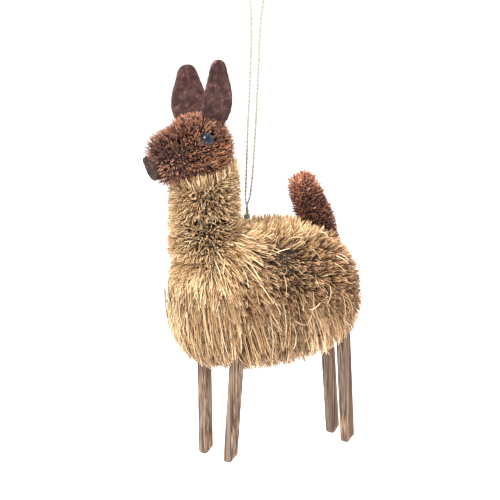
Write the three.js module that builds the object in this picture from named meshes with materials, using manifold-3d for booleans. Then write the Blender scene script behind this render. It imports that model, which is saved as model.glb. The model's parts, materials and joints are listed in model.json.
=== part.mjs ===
// Hanging llama ornament: trimmed palm-fibre bristles bound in sections on a wooden core, four stick legs,
// felt ears, bead eyes, a fuzzy tail and a twisted hanging loop.
// Units are millimetres, +Z is up and the llama faces -Y, so its left side is +X.

import * as THREE from "three";
import { mergeVertices } from "three/addons/utils/BufferGeometryUtils.js";
import Module from "manifold-3d";

const wasm = await Module();
wasm.setup();

// ---------- Driving dimensions ----------

const GLUE_GAP = 0.3; // between pieces that are glued or pressed together
const SEAM = 1.2; // between one bound section of bristles and the next

// Trunk: the trimmed outside of the body's bristles
const BODY_LENGTH = 65;
const BODY_WIDTH = 39;
const BODY_HEIGHT = 49;
const BODY_CENTRE_Y = -4.7;
const BODY_CENTRE_Z = 53.3;
const RUMP_DROP = 2; // how much lower the trunk's middle line ends at the rump
const CHEST_FULLNESS = 3.1; // exponents of the rounded outline: 2 is an ellipse, more is squarer
const RUMP_FULLNESS = 2.2;
const GIRTH_FULLNESS = 2.4;
const FRONT_SEAM_Y = -21.8; // where the chest's section ends
const REAR_SEAM_Y = 9.5; // where the rump's section starts

// Wooden core
const SPINE_SIZE = 8;
const SPINE_Z = 54;
const SPINE_END_COVER = 6; // bristle left beyond each end of the spine
const FRONT_LEG_BAR_LENGTH = 27.5;
const REAR_LEG_BAR_LENGTH = 20;
const LEG_BAR_DEPTH = 8.4;
const LEG_BAR_HEIGHT = 8;

// Legs: each stick runs straight from its foot through the point where it leaves the bristles
const LEG_DIAMETER = 4.7;
const LEG_BEVEL = 0.45;
const LEG_SOCKET_DEPTH = 5;
const LEGS = {
  leg_front_left: { foot: { x: 5.7, y: -22.3 }, exit: { x: 8.2, y: -21.4, z: 31 } },
  leg_front_right: { foot: { x: -6.3, y: -24.4 }, exit: { x: -8.8, y: -23.5, z: 31 } },
  leg_rear_left: { foot: { x: 6.2, y: 22.1 }, exit: { x: 6.5, y: 20.2, z: 30 } },
  leg_rear_right: { foot: { x: -4.9, y: 23.4 }, exit: { x: -5.2, y: 21.4, z: 30 } },
};

// Neck
const NECK_Y = -28.2;
const NECK_RADIUS = 11.5;
const NECK_FLARE = 0.6; // the lowest bristles stand out this much further
const NECK_BASE_Z = 67;
const NECK_SEAM_Z = 79.5;
const NECK_FRONT_TOP_Z = 90.5; // the neck's top slopes up behind the head
const NECK_BACK_TOP_Z = 96.5;
const NECK_STEM_DIAMETER = 5;
const STEM_SOCKET_DEPTH = 5;

// Head: an egg whose long axis runs forward and a little down to the nose
const HEAD_CENTRE = { y: -30, z: 102 };
const HEAD_RADIUS = 11.2;
const HEAD_LENGTH = 26.4; // from the back of the skull to the nose pad's back face
const HEAD_DROP = 18; // degrees that the nose lies below the head's centre
const MUZZLE_RADIUS = 5.2;
const MUZZLE_SEAM = 6.8; // from the head's centre to the seam in front of the eyes
const HEAD_CORE_RADIUS = 6;
const MUZZLE_PEG_DIAMETER = 3;
const PEG_SOCKET_DEPTH = 3;
const NOSE_WIDTH = 7.2;
const NOSE_HEIGHT = 7.5;
const NOSE_THICKNESS = 2.8;
const NOSE_BEVEL = 0.5;

const EYE_DIAMETER = 5;
const EYE_PLACE = { x: 8.7, y: -32, z: 106 };
const EYE_PIN_DIAMETER = 0.9;
const EYE_PIN_LENGTH = 6.2;
const EYE_PIN_AIM = { y: -33, z: 101.5 }; // where the two pins would meet inside the head

const EAR_WIDTH = 11.6;
const EAR_THICKNESS = 1;
const EAR_TAB = { width: 3, length: 5 };
const EARS = {
  left: { x: 6.2, y: -28.2, z: 108.6, length: 22.4 },
  right: { x: 5.6, y: -29.6, z: 107.4, length: 20.2 },
};
const EAR_LEAN = 10; // degrees outwards
const EAR_TURN = 12; // degrees that the inner face turns forward

// Tail
const TAIL_ROOT = { y: 15, z: 71 };
const TAIL_LEAN = 24; // degrees forward from upright
const TAIL_LENGTH = 21.8;
const TAIL_ROOT_RADIUS = 6;
const TAIL_TIP_RADIUS = 5.2;
const TAIL_STEM_DIAMETER = 2;
const TAIL_STEM_COVER = 6.5; // pile left beyond the end of the stem

// Hanging cord
const CORD_DIAMETER = 0.8;
const CORD_Y = -12.7;
const CORD_EXIT_SINK = 0.4; // the knot's lower side lies this far under the top of the back
const KNOT_RADIUS = 1.15;
const LOOP_STEPS = 76;
const BINDING_WIRE = 0.8;

// The loop's route from the top of the knot, up one strand, round the bight and down the other.
// The two strands cross just above the knot, the first one in front.
const LOOP_ROUTE = [
  [0.5, 0, 0.5],
  [0.8, -0.4, 2],
  [0.15, -0.5, 3.9],
  [-0.75, -0.1, 6.2],
  [-1.6, 0.7, 13],
  [-2.15, 1.5, 26],
  [-2.3, 2.3, 40],
  [-2.3, 2.9, 54],
  [-3.1, 3.2, 64],
  [-4.7, 3.5, 70.5],
  [-5, 3.6, 74.6],
  [-3.4, 3.7, 78],
  [0, 3.8, 79.4],
  [3.4, 3.8, 78],
  [5, 3.7, 74.6],
  [4.7, 3.6, 70.5],
  [3.2, 3.4, 64],
  [2.4, 3.1, 54],
  [2.3, 2.5, 40],
  [2.1, 1.8, 26],
  [1.5, 1.2, 13],
  [0.7, 0.85, 6.2],
  [-0.2, 0.75, 3.9],
  [-0.8, 0.5, 2],
  [-0.5, 0.1, 0.5],
];

// ---------- Materials ----------

const straw = { color: 0xc7a878, roughness: 0.85, metalness: 0 };
const rust = { color: 0x6e3a20, roughness: 0.85, metalness: 0 };
const felt = { color: 0x5a4038, roughness: 0.95, metalness: 0 };
const timber = { color: 0xc9a97c, roughness: 0.7, metalness: 0 };
const barkStick = { color: 0x8f7355, roughness: 0.8, metalness: 0 };
const bead = { color: 0x14161e, roughness: 0.1, metalness: 0 };
const wire = { color: 0x8c8c88, roughness: 0.35, metalness: 1 };
const twine = { color: 0xcfc5ad, roughness: 0.8, metalness: 0 };

// ---------- Solids and booleans ----------

const llama = new THREE.Group();

function solid(geometry, matrix = new THREE.Matrix4()) {
  const bare = geometry.clone().applyMatrix4(matrix);
  bare.deleteAttribute("normal");
  bare.deleteAttribute("uv");
  const merged = mergeVertices(bare, 1e-4);
  return new wasm.Manifold(
    new wasm.Mesh({
      numProp: 3,
      vertProperties: new Float32Array(merged.attributes.position.array),
      triVerts: new Uint32Array(merged.index.array),
    }),
  );
}

function addPiece(name, shape, finish) {
  const mesh = shape.getMesh();
  const geometry = new THREE.BufferGeometry();
  geometry.setAttribute("position", new THREE.BufferAttribute(mesh.vertProperties, 3));
  geometry.setIndex(new THREE.BufferAttribute(mesh.triVerts, 1));
  geometry.computeVertexNormals();
  const piece = new THREE.Mesh(geometry, new THREE.MeshStandardMaterial(finish));
  piece.name = name;
  llama.add(piece);
}

const radians = THREE.MathUtils.degToRad;
const at = (x, y, z) => new THREE.Matrix4().makeTranslation(x, y, z);
const turn = (x, y, z) =>
  new THREE.Matrix4().makeRotationFromEuler(new THREE.Euler(radians(x), radians(y), radians(z)));
const chain = (...steps) => steps.reduce((whole, step) => whole.multiply(step), new THREE.Matrix4());

function box(width, depth, height, x, y, z) {
  return solid(new THREE.BoxGeometry(width, depth, height), at(x, y, z));
}

// A round solid about +Z from points of [radius, height], the first and last on the axis, rising.
function turned(profile, sides, matrix) {
  const points = profile.map(([radius, height]) => new THREE.Vector2(radius, height));
  return solid(new THREE.LatheGeometry(points, sides), chain(matrix, turn(90, 0, 0)));
}

function rod(diameter, from, to, matrix, sides = 16) {
  const radius = diameter / 2;
  return turned([[0, from], [radius, from], [radius, to], [0, to]], sides, matrix);
}

// A straight stick between two horizontal planes, sheared so that its ends stay level.
function levelEndedRod(radius, bevel, { foot, exit }, bottomZ, topZ) {
  const outline = new THREE.Shape().absarc(0, 0, radius - bevel, 0, 2 * Math.PI);
  const geometry = new THREE.ExtrudeGeometry(outline, {
    depth: topZ - bottomZ - 2 * bevel,
    steps: 1,
    curveSegments: 7,
    bevelEnabled: bevel > 0,
    bevelThickness: bevel,
    bevelSize: bevel,
    bevelSegments: 1,
  });
  const leanX = (exit.x - foot.x) / exit.z;
  const leanY = (exit.y - foot.y) / exit.z;
  const shear = new THREE.Matrix4().set(1, 0, leanX, 0, 0, 1, leanY, 0, 0, 0, 1, 0, 0, 0, 0, 1);
  return solid(geometry, chain(at(foot.x, foot.y, 0), shear, at(0, 0, bottomZ + bevel)));
}

// ---------- Trimmed outside of the trunk ----------

const superCircle = (share, fullness) =>
  Math.pow(Math.max(0, 1 - Math.pow(Math.abs(share), fullness)), 1 / fullness);

function trunkForm() {
  const rings = 12;
  const sides = 24;
  const middleZ = (share) => BODY_CENTRE_Z - RUMP_DROP * Math.pow(Math.max(0, share), 2);
  const positions = [0, BODY_CENTRE_Y - BODY_LENGTH / 2, BODY_CENTRE_Z];
  for (let ring = 1; ring < rings; ring++) {
    const share = -Math.cos((Math.PI * ring) / rings);
    const swell = superCircle(share, share < 0 ? CHEST_FULLNESS : RUMP_FULLNESS);
    for (let side = 0; side < sides; side++) {
      const angle = (2 * Math.PI * side) / sides;
      const reach = Math.pow(
        Math.pow(Math.abs(Math.cos(angle)), GIRTH_FULLNESS) +
          Math.pow(Math.abs(Math.sin(angle)), GIRTH_FULLNESS),
        -1 / GIRTH_FULLNESS,
      );
      positions.push(
        (BODY_WIDTH / 2) * swell * reach * Math.cos(angle),
        BODY_CENTRE_Y + (share * BODY_LENGTH) / 2,
        middleZ(share) + (BODY_HEIGHT / 2) * swell * reach * Math.sin(angle),
      );
    }
  }
  positions.push(0, BODY_CENTRE_Y + BODY_LENGTH / 2, middleZ(1));
  const faces = [];
  const corner = (ring, side) => 1 + (ring - 1) * sides + (side % sides);
  const lastPoint = positions.length / 3 - 1;
  for (let side = 0; side < sides; side++) {
    faces.push(0, corner(1, side), corner(1, side + 1));
    for (let ring = 1; ring < rings - 1; ring++) {
      faces.push(corner(ring, side), corner(ring + 1, side), corner(ring + 1, side + 1));
      faces.push(corner(ring, side), corner(ring + 1, side + 1), corner(ring, side + 1));
    }
    faces.push(lastPoint, corner(rings - 1, side + 1), corner(rings - 1, side));
  }
  const geometry = new THREE.BufferGeometry();
  geometry.setAttribute("position", new THREE.Float32BufferAttribute(positions, 3));
  geometry.setIndex(faces);
  return solid(geometry);
}

// ---------- Wooden core ----------

const chestY = BODY_CENTRE_Y - BODY_LENGTH / 2;
const rumpY = BODY_CENTRE_Y + BODY_LENGTH / 2;
const spineFront = chestY + SPINE_END_COVER;
const spineBack = rumpY - SPINE_END_COVER;
const spineTop = SPINE_Z + SPINE_SIZE / 2;
const spineBottom = SPINE_Z - SPINE_SIZE / 2;
const legBarZ = spineBottom - GLUE_GAP - LEG_BAR_HEIGHT / 2;
const legBarBottom = legBarZ - LEG_BAR_HEIGHT / 2;
const legTop = legBarBottom + LEG_SOCKET_DEPTH;

const neckStemBottom = spineTop - STEM_SOCKET_DEPTH;
const neckStemTop = HEAD_CENTRE.z - HEAD_CORE_RADIUS + STEM_SOCKET_DEPTH;

const headAxis = chain(at(0, HEAD_CENTRE.y, HEAD_CENTRE.z), turn(90 + HEAD_DROP, 0, 0));
const tailAxis = chain(at(0, TAIL_ROOT.y, TAIL_ROOT.z), turn(TAIL_LEAN, 0, 0));
const tailSocketDepth = (TAIL_ROOT.z - spineTop) / Math.cos(radians(TAIL_LEAN)) + STEM_SOCKET_DEPTH;

function spineSolid(grow = 0) {
  const size = SPINE_SIZE + 2 * grow;
  const length = spineBack - spineFront + 2 * grow;
  return box(size, length, size, 0, (spineFront + spineBack) / 2, SPINE_Z);
}

function legSolid(leg, grow, bottomZ, topZ, bevel = 0) {
  return levelEndedRod(LEG_DIAMETER / 2 + grow, bevel, leg, bottomZ, topZ);
}

// A bar lies across the body where its two legs reach it.
function legBar(length, left, right) {
  const reach = ({ foot, exit }) => foot.y + ((exit.y - foot.y) / exit.z) * legBarZ;
  const y = (reach(left) + reach(right)) / 2;
  return { legs: [left, right], block: (grow) => roundEndedBar(length, y, grow) };
}

function roundEndedBar(length, y, grow) {
  const endRadius = LEG_BAR_DEPTH / 2 + grow;
  const straight = length / 2 - LEG_BAR_DEPTH / 2;
  const plan = new THREE.Shape();
  plan.absarc(straight, 0, endRadius, -Math.PI / 2, Math.PI / 2);
  plan.absarc(-straight, 0, endRadius, Math.PI / 2, (3 * Math.PI) / 2);
  const height = LEG_BAR_HEIGHT + 2 * grow;
  const shape = { depth: height, curveSegments: 5, bevelEnabled: false };
  return solid(new THREE.ExtrudeGeometry(plan, shape), at(0, y, legBarZ - height / 2));
}

const legBars = {
  front_leg_bar: legBar(FRONT_LEG_BAR_LENGTH, LEGS.leg_front_left, LEGS.leg_front_right),
  rear_leg_bar: legBar(REAR_LEG_BAR_LENGTH, LEGS.leg_rear_left, LEGS.leg_rear_right),
};

function neckStemSolid(grow = 0) {
  return rod(NECK_STEM_DIAMETER + 2 * grow, neckStemBottom - grow, neckStemTop + grow, at(0, NECK_Y, 0));
}

function tailStemSolid(grow = 0) {
  const from = -tailSocketDepth - grow;
  const to = TAIL_LENGTH - TAIL_STEM_COVER + grow;
  return rod(TAIL_STEM_DIAMETER + 2 * grow, from, to, tailAxis, 12);
}

// ---------- Tail, head and neck forms ----------

function tailForm(grow = 0) {
  const root = TAIL_ROOT_RADIUS + grow;
  const tip = TAIL_TIP_RADIUS + grow;
  return turned(
    [
      [0, -grow],
      [root * 0.75, -grow],
      [root, root * 0.35],
      [root, TAIL_LENGTH * 0.45],
      [tip, TAIL_LENGTH - tip * 0.8],
      [tip * 0.72, TAIL_LENGTH - tip * 0.2 + grow],
      [0, TAIL_LENGTH + grow],
    ],
    18,
    tailAxis,
  );
}

const muzzleEnd = HEAD_LENGTH - HEAD_RADIUS; // from the head's centre

function headForm(grow = 0) {
  const skull = HEAD_RADIUS + grow;
  const profile = [[0, -skull]];
  for (const angle of [-66, -45, -24, 0]) {
    profile.push([skull * Math.cos(radians(angle)), skull * Math.sin(radians(angle))]);
  }
  for (const share of [0.25, 0.5, 0.75, 1]) {
    const ease = Math.cos((share * Math.PI) / 2);
    const taper = 0.3 * (1 - share) + 0.7 * ease;
    profile.push([MUZZLE_RADIUS + grow + (HEAD_RADIUS - MUZZLE_RADIUS) * taper, muzzleEnd * share]);
  }
  profile.push([0, muzzleEnd]);
  return turned(profile, 24, headAxis);
}

function muzzlePeg(grow = 0) {
  const from = HEAD_CORE_RADIUS - PEG_SOCKET_DEPTH - grow;
  const to = muzzleEnd + NOSE_THICKNESS / 2 + grow;
  return rod(MUZZLE_PEG_DIAMETER + 2 * grow, from, to, headAxis, 12);
}

function headCore(grow = 0) {
  const sphere = new THREE.SphereGeometry(HEAD_CORE_RADIUS + grow, 16, 10);
  return solid(sphere, at(0, HEAD_CENTRE.y, HEAD_CENTRE.z));
}

function neckForm(bottomZ, topZ, flare) {
  const edge = 0.8;
  return turned(
    [
      [0, bottomZ],
      [NECK_RADIUS + flare - edge, bottomZ],
      [NECK_RADIUS + flare, bottomZ + edge],
      [NECK_RADIUS, bottomZ + (topZ - bottomZ) * 0.6],
      [NECK_RADIUS, topZ - edge],
      [NECK_RADIUS - edge, topZ],
      [0, topZ],
    ],
    24,
    at(0, NECK_Y, 0),
  );
}

// ---------- Ears, eyes and nose ----------

function earPlace(side, root) {
  return chain(
    at(side * root.x, root.y, root.z),
    turn(0, side * EAR_LEAN, 0),
    turn(0, 0, side * EAR_TURN),
  );
}

// A pointed leaf cut flat in the Y-Z plane, with a short tab below that is glued into the head core.
function earSolid(side, ear, grow = 0) {
  const half = EAR_WIDTH / 2 + grow;
  const tab = EAR_TAB.width / 2 + grow;
  const top = ear.length + grow;
  const leaf = new THREE.Shape();
  leaf.moveTo(-tab, -EAR_TAB.length - grow);
  leaf.lineTo(tab, -EAR_TAB.length - grow);
  leaf.lineTo(tab, 0);
  leaf.bezierCurveTo(half * 1.2, top * 0.12, half * 1.25, top * 0.4, half * 0.72, top * 0.74);
  leaf.bezierCurveTo(half * 0.55, top * 0.86, half * 0.5, top, 0, top);
  leaf.bezierCurveTo(-half * 0.5, top, -half * 0.55, top * 0.88, -half * 0.68, top * 0.74);
  leaf.bezierCurveTo(-half * 1.15, top * 0.4, -half * 1.2, top * 0.14, -tab, 0);
  leaf.closePath();
  const thickness = EAR_THICKNESS + 2 * grow;
  const sheet = { depth: thickness, curveSegments: 7, bevelEnabled: false };
  const upright = new THREE.Matrix4().makeBasis(
    new THREE.Vector3(0, 1, 0),
    new THREE.Vector3(0, 0, 1),
    new THREE.Vector3(1, 0, 0),
  );
  const place = chain(earPlace(side, ear), upright, at(0, 0, -thickness / 2));
  return solid(new THREE.ExtrudeGeometry(leaf, sheet), place);
}

function eyeAxis(side) {
  const place = new THREE.Vector3(side * EYE_PLACE.x, EYE_PLACE.y, EYE_PLACE.z);
  const outward = place.clone().sub(new THREE.Vector3(0, EYE_PIN_AIM.y, EYE_PIN_AIM.z)).normalize();
  const aim = new THREE.Quaternion().setFromUnitVectors(new THREE.Vector3(0, 0, 1), outward);
  return new THREE.Matrix4().compose(place, aim, new THREE.Vector3(1, 1, 1));
}

function eyeBead(side, grow = 0) {
  const sphere = new THREE.SphereGeometry(EYE_DIAMETER / 2 + grow, 16, 10);
  return solid(sphere, eyeAxis(side));
}

function eyePin(side, grow = 0) {
  return rod(EYE_PIN_DIAMETER + 2 * grow, -EYE_PIN_LENGTH - grow, grow, eyeAxis(side), 10);
}

function nosePad() {
  const half = NOSE_WIDTH / 2;
  const pad = new THREE.Shape();
  pad.moveTo(-half * 0.85, NOSE_HEIGHT / 2);
  pad.lineTo(half * 0.85, NOSE_HEIGHT / 2);
  pad.quadraticCurveTo(half * 1.05, NOSE_HEIGHT / 2, half, NOSE_HEIGHT * 0.25);
  pad.quadraticCurveTo(half * 0.9, -NOSE_HEIGHT / 2, 0, -NOSE_HEIGHT / 2);
  pad.quadraticCurveTo(-half * 0.9, -NOSE_HEIGHT / 2, -half, NOSE_HEIGHT * 0.25);
  pad.quadraticCurveTo(-half * 1.05, NOSE_HEIGHT / 2, -half * 0.85, NOSE_HEIGHT / 2);
  const geometry = new THREE.ExtrudeGeometry(pad, {
    depth: NOSE_THICKNESS - 2 * NOSE_BEVEL,
    curveSegments: 5,
    bevelThickness: NOSE_BEVEL,
    bevelSize: NOSE_BEVEL,
    bevelOffset: -NOSE_BEVEL,
    bevelSegments: 1,
  });
  const back = muzzleEnd + GLUE_GAP + NOSE_BEVEL;
  return solid(geometry, chain(headAxis, at(0, 0, back)));
}

// ---------- Cord and bindings ----------

// The tied cord comes out where the back is highest, and follows the back's height.
const cordExitZ = BODY_CENTRE_Z + BODY_HEIGHT / 2 - CORD_EXIT_SINK;
const loopStart = new THREE.Vector3(0, CORD_Y, cordExitZ + 2 * KNOT_RADIUS);

function cordLoop() {
  const points = LOOP_ROUTE.map(([x, y, z]) => new THREE.Vector3(x, y, z).add(loopStart));
  const path = new THREE.CatmullRomCurve3(points, false, "centripetal");
  const section = new THREE.Shape().absarc(0, 0, CORD_DIAMETER / 2, 0, 2 * Math.PI);
  const tube = { steps: LOOP_STEPS, curveSegments: 4, bevelEnabled: false, extrudePath: path };
  return solid(new THREE.ExtrudeGeometry(section, tube));
}

// A wire ring of square section laid round a square or round core.
function squareRing(inner, wireSize, depth, matrix) {
  const outer = inner + 2 * wireSize;
  const outside = solid(new THREE.BoxGeometry(outer, depth, outer), matrix);
  return outside.subtract(solid(new THREE.BoxGeometry(inner, depth * 2, inner), matrix));
}

function roundRing(innerRadius, wireSize, height, matrix) {
  const outside = rod(2 * (innerRadius + wireSize), -height / 2, height / 2, matrix, 20);
  return outside.subtract(rod(2 * innerRadius, -height, height, matrix, 20));
}

const anchorInner = SPINE_SIZE + 2 * GLUE_GAP;
const riserRadius = CORD_DIAMETER;
const riserTop = cordExitZ - GLUE_GAP;

function cordAnchor(grow = 0) {
  const place = at(0, CORD_Y, SPINE_Z);
  const turns = 2 * CORD_DIAMETER + 2 * grow;
  const wrap = squareRing(anchorInner - 2 * grow, CORD_DIAMETER + 2 * grow, turns, place);
  const from = spineTop + GLUE_GAP + CORD_DIAMETER / 2;
  const to = riserTop + (grow ? BODY_HEIGHT : 0);
  return wrap.add(rod(2 * (riserRadius + grow), from, to, at(0, CORD_Y, 0), 12));
}

// ---------- Assembly ----------

const trunkBores = [
  spineSolid(GLUE_GAP),
  ...Object.values(legBars).map((bar) => bar.block(GLUE_GAP)),
  ...Object.values(LEGS).map((leg) => legSolid(leg, GLUE_GAP, 0, legBarZ)),
  neckStemSolid(GLUE_GAP),
  tailStemSolid(GLUE_GAP),
  tailForm(GLUE_GAP),
  cordAnchor(GLUE_GAP),
];
const neckAxis = at(0, NECK_Y, 0);
const neckSeatDiameter = 2 * (NECK_RADIUS + NECK_FLARE + GLUE_GAP);
const neckSeat = rod(neckSeatDiameter, NECK_BASE_Z - GLUE_GAP, NECK_BACK_TOP_Z, neckAxis, 24);
const rearBindingWire = squareRing(anchorInner, BINDING_WIRE, BINDING_WIRE, at(0, REAR_SEAM_Y, SPINE_Z));

function slab(fromY, toY) {
  const depth = toY - fromY;
  return box(BODY_WIDTH * 2, depth, BODY_HEIGHT * 2, 0, fromY + depth / 2, BODY_CENTRE_Z);
}

const trunk = trunkBores.reduce((form, bore) => form.subtract(bore), trunkForm()).subtract(neckSeat);
const halfSeam = SEAM / 2;
const trunkSections = [
  ["chest_fleece", chestY - 1, FRONT_SEAM_Y - halfSeam],
  ["shoulder_fleece", FRONT_SEAM_Y + halfSeam, CORD_Y - halfSeam],
  ["barrel_fleece", CORD_Y + halfSeam, REAR_SEAM_Y - halfSeam],
  ["rump_fleece", REAR_SEAM_Y + halfSeam, rumpY + 1],
];
for (const [name, fromY, toY] of trunkSections) {
  addPiece(name, trunk.intersect(slab(fromY, toY)), straw);
}

const spine = spineSolid().subtract(neckStemSolid(GLUE_GAP)).subtract(tailStemSolid(GLUE_GAP));
addPiece("spine_bar", spine, timber);
for (const [name, bar] of Object.entries(legBars)) {
  const sockets = bar.legs.map((leg) => legSolid(leg, GLUE_GAP, 0, legTop + GLUE_GAP));
  addPiece(name, sockets.reduce((block, socket) => block.subtract(socket), bar.block(0)), timber);
}
for (const [name, leg] of Object.entries(LEGS)) {
  addPiece(name, legSolid(leg, 0, 0, legTop, LEG_BEVEL), barkStick);
}
addPiece("rear_binding", rearBindingWire, wire);

addPiece("neck_stem", neckStemSolid(), timber);
const stemBore = neckStemSolid(GLUE_GAP);
const lowerNeck = neckForm(NECK_BASE_Z, NECK_SEAM_Z - halfSeam, NECK_FLARE);
const neckSlope = Math.atan2(NECK_BACK_TOP_Z - NECK_FRONT_TOP_Z, 2 * NECK_RADIUS);
const neckTopMiddle = at(0, NECK_Y, (NECK_FRONT_TOP_Z + NECK_BACK_TOP_Z) / 2);
const aboveNeck = solid(
  new THREE.BoxGeometry(60, 60, 60),
  chain(neckTopMiddle, new THREE.Matrix4().makeRotationX(neckSlope), at(0, 0, 30)),
);
const upperNeck = neckForm(NECK_SEAM_Z + halfSeam, NECK_BACK_TOP_Z, 0)
  .subtract(aboveNeck)
  .subtract(headForm(GLUE_GAP));
addPiece("neck_fleece_lower", lowerNeck.subtract(stemBore), straw);
addPiece("neck_fleece_upper", upperNeck.subtract(stemBore), straw);
const neckBindingInner = NECK_STEM_DIAMETER / 2 + GLUE_GAP;
const neckBindingPlace = at(0, NECK_Y, NECK_SEAM_Z);
addPiece("neck_binding", roundRing(neckBindingInner, BINDING_WIRE, SEAM - GLUE_GAP, neckBindingPlace), wire);

const sides = [
  ["left", 1],
  ["right", -1],
];
let head = headForm().subtract(headCore(GLUE_GAP)).subtract(stemBore).subtract(muzzlePeg(GLUE_GAP));
let skull = headCore().subtract(stemBore).subtract(muzzlePeg(GLUE_GAP));
for (const [word, side] of sides) {
  const earSlot = earSolid(side, EARS[word], GLUE_GAP);
  const pinBore = eyePin(side, GLUE_GAP);
  head = head.subtract(earSlot).subtract(eyeBead(side, GLUE_GAP)).subtract(pinBore);
  skull = skull.subtract(earSlot).subtract(pinBore);
  addPiece("ear_" + word, earSolid(side, EARS[word]), felt);
  addPiece("eye_" + word, eyeBead(side).subtract(eyePin(side, GLUE_GAP / 3)), bead);
  addPiece("eye_pin_" + word, eyePin(side), wire);
}
addPiece("head_core", skull, timber);
const seamCut = solid(new THREE.BoxGeometry(60, 60, SEAM), chain(headAxis, at(0, 0, MUZZLE_SEAM)));
const frontHalf = solid(new THREE.BoxGeometry(60, 60, 60), chain(headAxis, at(0, 0, MUZZLE_SEAM + 30)));
addPiece("head_bristles", head.subtract(seamCut).subtract(frontHalf), rust);
addPiece("muzzle_bristles", head.subtract(seamCut).intersect(frontHalf), rust);
addPiece("muzzle_peg", muzzlePeg(), timber);
addPiece("nose_pad", nosePad().subtract(muzzlePeg(GLUE_GAP)), felt);

addPiece("tail_stem", tailStemSolid(), wire);
addPiece("tail_pile", tailForm().subtract(tailStemSolid(GLUE_GAP)), rust);

addPiece("cord_anchor", cordAnchor(), twine);
const knot = new THREE.SphereGeometry(KNOT_RADIUS, 12, 8);
addPiece("cord_knot", solid(knot, at(0, CORD_Y, cordExitZ + KNOT_RADIUS)), twine);
addPiece("hanging_loop", cordLoop(), twine);

// The part's origin is under the middle of the llama, level with its feet.
const onCord = ["cord_knot", "hanging_loop"];
const extent = new THREE.Box3();
for (const piece of llama.children) {
  if (!onCord.includes(piece.name)) {
    extent.expandByObject(piece);
  }
}
llama.position.set(0, -(extent.min.y + extent.max.y) / 2, 0);

const group = new THREE.Group();
group.add(llama);

export default group;
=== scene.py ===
"""Looks of the hanging bristle llama: trimmed straw bristles on four trunk sections and the neck, short rust
bristles on the head, a chenille tail, felt ears, bead eyes, weathered stick legs and a two-ply cord."""

import json
import math

import bmesh
import bpy
import numpy as np
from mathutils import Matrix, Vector, noise


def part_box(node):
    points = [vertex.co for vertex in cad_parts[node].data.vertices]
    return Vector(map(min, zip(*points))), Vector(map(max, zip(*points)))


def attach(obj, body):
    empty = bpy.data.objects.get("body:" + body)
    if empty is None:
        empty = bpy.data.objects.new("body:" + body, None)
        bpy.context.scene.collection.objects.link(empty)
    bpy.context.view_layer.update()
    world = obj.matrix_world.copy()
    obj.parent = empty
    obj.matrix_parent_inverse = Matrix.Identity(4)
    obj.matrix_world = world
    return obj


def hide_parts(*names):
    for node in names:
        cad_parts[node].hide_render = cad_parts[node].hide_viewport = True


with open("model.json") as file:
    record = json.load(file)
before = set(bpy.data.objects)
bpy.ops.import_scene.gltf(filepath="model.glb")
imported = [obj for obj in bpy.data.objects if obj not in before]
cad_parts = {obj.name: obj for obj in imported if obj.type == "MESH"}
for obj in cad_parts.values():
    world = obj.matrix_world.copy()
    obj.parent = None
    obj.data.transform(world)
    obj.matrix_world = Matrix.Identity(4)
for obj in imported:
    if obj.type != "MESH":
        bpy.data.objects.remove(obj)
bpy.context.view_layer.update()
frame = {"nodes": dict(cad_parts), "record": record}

MM = 0.001
NODES = frame["nodes"]
MOUNTS = {mount["name"]: Vector(mount["pos_m"]) for mount in frame["record"]["mounts"]}

# ---------- Sizes, in metres ----------

BRISTLE_RADIUS = 0.16 * MM
CORD_DIAMETER = 0.8 * MM
PLY_PITCH = 2.6 * MM  # one full twist of the two plies
FLOOR_DROP = 95 * MM  # the llama hangs this far above the floor
WELD = 0.002 * MM  # CAD corners this close are one corner
SMOOTH_ROUNDS = 3
SEAM_REACH = 2.4 * MM  # this close to a seam a bed keeps its length
TRUNK_BED, NECK_BED, SKULL_BED, SNOUT_BED, PILE_BED = (depth * MM for depth in (3.4, 2.6, 2.2, 1.4, 1.9))
STRAY_TOP = 76 * MM  # no stray bristles above this height
FAR = 1  # a limit that cuts nothing off, in metres

# The loop's route from the top of the knot, up one strand, round its end and down the other, in millimetres.
LOOP_ROUTE = [
    (0.5, 0, 0.5), (0.8, -0.4, 2), (0.15, -0.5, 3.9), (-0.75, -0.1, 6.2), (-1.6, 0.7, 13),
    (-2.15, 1.5, 26), (-2.3, 2.3, 40), (-2.3, 2.9, 54), (-3.1, 3.2, 64), (-4.7, 3.5, 70.5),
    (-5, 3.6, 74.6), (-3.4, 3.7, 78), (0, 3.8, 79.4), (3.4, 3.8, 78), (5, 3.7, 74.6),
    (4.7, 3.6, 70.5), (3.2, 3.4, 64), (2.4, 3.1, 54), (2.3, 2.5, 40), (2.1, 1.8, 26),
    (1.5, 1.2, 13), (0.7, 0.85, 6.2), (-0.2, 0.75, 3.9), (-0.8, 0.5, 2), (-0.5, 0.1, 0.5),
]


# ---------- Node trees ----------


class Value:
    """A node's output that takes part in sums. An expression adds Math nodes, or Vector Math on vectors."""

    def __init__(self, tree, socket):
        self.tree = tree
        self.socket = socket

    def is_vector(self):
        return self.socket.type in ("VECTOR", "RGBA")

    def combine(self, operation, first, second):
        vector = any(isinstance(x, Value) and x.is_vector() or isinstance(x, tuple) for x in (first, second))
        kind = "ShaderNodeVectorMath" if vector else "ShaderNodeMath"
        if vector and operation == "MULTIPLY":
            for number, other in ((first, second), (second, first)):
                if not isinstance(number, tuple) and not (isinstance(number, Value) and number.is_vector()):
                    return self.tree.node(kind, {"operation": "SCALE"}, {0: other, "Scale": number})
        return self.tree.node(kind, {"operation": operation}, {0: first, 1: second})


OPERATORS = {"add": "ADD", "sub": "SUBTRACT", "mul": "MULTIPLY", "truediv": "DIVIDE"}
for word, operation in OPERATORS.items():
    setattr(Value, f"__{word}__", lambda self, other, done=operation: self.combine(done, self, other))
    setattr(Value, f"__r{word}__", lambda self, other, done=operation: self.combine(done, other, self))


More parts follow.
